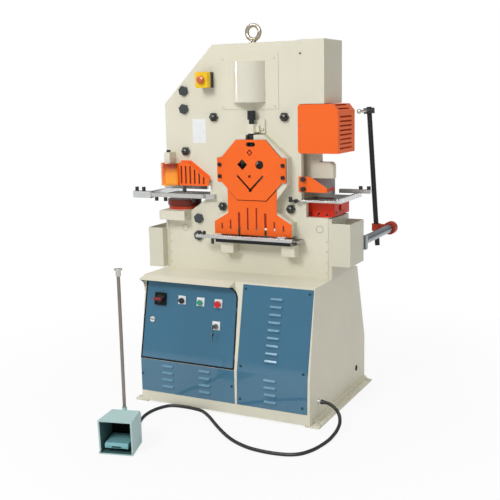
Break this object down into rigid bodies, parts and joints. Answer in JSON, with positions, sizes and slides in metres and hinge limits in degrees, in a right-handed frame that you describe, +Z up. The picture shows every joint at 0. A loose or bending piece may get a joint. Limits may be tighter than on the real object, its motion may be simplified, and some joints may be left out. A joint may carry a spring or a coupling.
{
  "type": "ironworker machine",
  "caption": "Free-standing hydraulic ironworker with punching, shearing and notching stations, steel work tables, scrap bins, a length stop and a foot switch on a cable.",
  "frame": {"origin": "on the floor, midway between the four anchor holes of the floor rails", "axes": "+Z up, +X to the operator's right, -Y towards the operator, out of the machine's front"},
  "size_m": [1.3005, 1.7309, 1.9645],
  "materials": {
    "frame_paint": "satin cream paint",
    "panel_paint": "satin blue paint",
    "guard_paint": "satin orange paint",
    "clamp_paint": "dark red paint",
    "window": "amber see-through plastic beside orange sheet",
    "black_steel": "blackened steel",
    "black_plastic": "black plastic",
    "switch_black": "black moulding",
    "red_plastic": "red plastic",
    "green_plastic": "green plastic",
    "yellow_plastic": "yellow and black plastic",
    "white_plate": "blank white plates",
    "table_steel": "ground steel",
    "bright_steel": "polished steel",
    "bare_steel": "machined steel",
    "gasket": "black rubber",
    "pedal_paint": "grey-green paint on cast metal",
    "treadle_paint": "grey-green paint"
  },
  "bodies": {
    "machine": {"floor_rails": "frame_paint", "base_cabinet": "frame_paint", "lower_left_panel": "panel_paint", "right_front_panel": "panel_paint", "panel_screws": "panel_paint", "door_gasket": "gasket", "door_hinges": "black_steel", "electrical_plate": "bare_steel", "oil_tank": "bare_steel", "electric_motor": "panel_paint", "pressure_pipe": "bare_steel", "front_plate": "frame_paint", "rear_plate": "frame_paint", "tie_bolts": "black_steel", "spacer_tubes": "bare_steel", "side_covers": "frame_paint", "frame_sheet": "frame_paint", "cylinder_cover": "frame_paint", "cylinder_barrel": "bare_steel", "lifting_eye": "bright_steel", "stop_box": "yellow_plastic", "shear_housing": "frame_paint", "octagon_guard": "guard_paint", "skirt_guard": "guard_paint", "fixed_blades": "table_steel", "hold_down_bracket": "frame_paint", "die_block": "frame_paint", "punch_guard": "window", "notch_cover": "guard_paint", "notch_guard": "guard_paint", "work_tables": "table_steel", "gauge_knobs": "black_plastic", "scrap_bins": "frame_paint", "stop_bar": "bare_steel", "cable_glands": "black_plastic", "foot_switch": "pedal_paint", "switch_cable": "gasket"},
    "control_door": {"control_door": "panel_paint", "legend_plates": "white_plate", "switch_plate": "switch_black"},
    "door_lock": {"door_lock": "bright_steel"},
    "switch_handle": {"switch_handle": "red_plastic"},
    "selector_knob": {"selector_knob": "black_plastic"},
    "start_button": {"start_button": "green_plastic"},
    "stop_button": {"stop_button": "red_plastic"},
    "key_switch": {"key_switch": "bright_steel"},
    "mushroom_button": {"mushroom_button": "red_plastic"},
    "tool_beam": {"tool_beam": "frame_paint", "moving_blades": "table_steel", "cylinder_rod": "bright_steel", "punch_tool": "table_steel"},
    "hold_down_knob": {"hold_down_knob": "black_steel"},
    "hold_down_foot": {"hold_down_foot": "black_steel"},
    "punch_fence": {"punch_fence": "table_steel"},
    "notch_fence": {"notch_fence": "table_steel"},
    "shear_stop": {"shear_stop": "table_steel"},
    "stop_clamp": {"stop_clamp": "clamp_paint"},
    "stop_post": {"stop_post": "black_steel"},
    "stop_arm": {"stop_arm": "bright_steel"},
    "treadle": {"treadle": "treadle_paint"}
  },
  "joints": [
    {"name": "control_door_hinge", "type": "hinge", "parent": "machine", "child": "control_door", "pos_m": [0.0706, -0.36639, 0.43716], "axis": [0, 0.168, 0.9858], "range_deg": [0, 100]},
    {"name": "door_lock_turn", "type": "hinge", "parent": "control_door", "child": "door_lock", "pos_m": [-0.422, -0.36438, 0.44899], "axis": [0, -0.9858, 0.168], "range_deg": [0, 90]},
    {"name": "main_switch_turn", "type": "hinge", "parent": "control_door", "child": "switch_handle", "pos_m": [-0.3775, -0.34556, 0.55939], "axis": [0, -0.9858, 0.168], "range_deg": [0, 90]},
    {"name": "selector_turn", "type": "hinge", "parent": "control_door", "child": "selector_knob", "pos_m": [-0.2505, -0.34556, 0.55939], "axis": [0, -0.9858, 0.168], "range_deg": [-45, 45]},
    {"name": "start_press", "type": "slide", "parent": "control_door", "child": "start_button", "axis": [0, 0.9858, -0.168], "range_m": [0, 0.005], "stiffness_N_per_m": 600, "springref_m": -0.001},
    {"name": "stop_press", "type": "slide", "parent": "control_door", "child": "stop_button", "axis": [0, 0.9858, -0.168], "range_m": [0, 0.005], "stiffness_N_per_m": 600, "springref_m": -0.001},
    {"name": "key_turn", "type": "hinge", "parent": "control_door", "child": "key_switch", "pos_m": [-0.0425, -0.36455, 0.448], "axis": [0, -0.9858, 0.168], "range_deg": [0, 90]},
    {"name": "emergency_stop_press", "type": "slide", "parent": "machine", "child": "mushroom_button", "axis": [0, 1, 0], "range_m": [0, 0.004], "stiffness_N_per_m": 1500, "springref_m": -0.001},
    {"name": "tool_beam_slide", "type": "slide", "parent": "machine", "child": "tool_beam", "axis": [0, 0, -1], "range_m": [0, 0.04]},
    {"name": "hold_down_turn", "type": "hinge", "parent": "machine", "child": "hold_down_knob", "pos_m": [0.065, -0.134, 1.41], "axis": [0, 0, -1], "range_deg": [0, 2160]},
    {"name": "hold_down_feed", "type": "slide", "parent": "machine", "child": "hold_down_foot", "axis": [0, 0, -1], "range_m": [0, 0.025]},
    {"name": "punch_fence_slide", "type": "slide", "parent": "machine", "child": "punch_fence", "axis": [0, 1, 0], "range_m": [0, 0.12]},
    {"name": "notch_fence_slide", "type": "slide", "parent": "machine", "child": "notch_fence", "axis": [0, 1, 0], "range_m": [-0.09, 0.02]},
    {"name": "shear_stop_slide", "type": "slide", "parent": "machine", "child": "shear_stop", "axis": [1, 0, 0], "range_m": [-0.25, 0.03]},
    {"name": "length_stop_slide", "type": "slide", "parent": "machine", "child": "stop_clamp", "axis": [0, 1, 0], "range_m": [-0.3, 0]},
    {"name": "stop_post_lift", "type": "slide", "parent": "stop_clamp", "child": "stop_post", "axis": [-0.0698, 0, 0.9976], "range_m": [-0.03, 0.08]},
    {"name": "stop_arm_slide", "type": "slide", "parent": "stop_post", "child": "stop_arm", "axis": [-0.0698, 0, 0.9976], "range_m": [-0.35, 0]},
    {"name": "treadle_hinge", "type": "hinge", "parent": "machine", "child": "treadle", "pos_m": [-0.23277, -0.92382, 0.034], "axis": [0.9703, 0.2419, 0], "range_deg": [0, 8], "stiffness_Nm_per_rad": 12, "springref_deg": -2.86}
  ],
  "couplings": [
    {"joint": "hold_down_feed", "follows": "hold_down_turn", "m_per_rad": 0.000637}
  ]
}
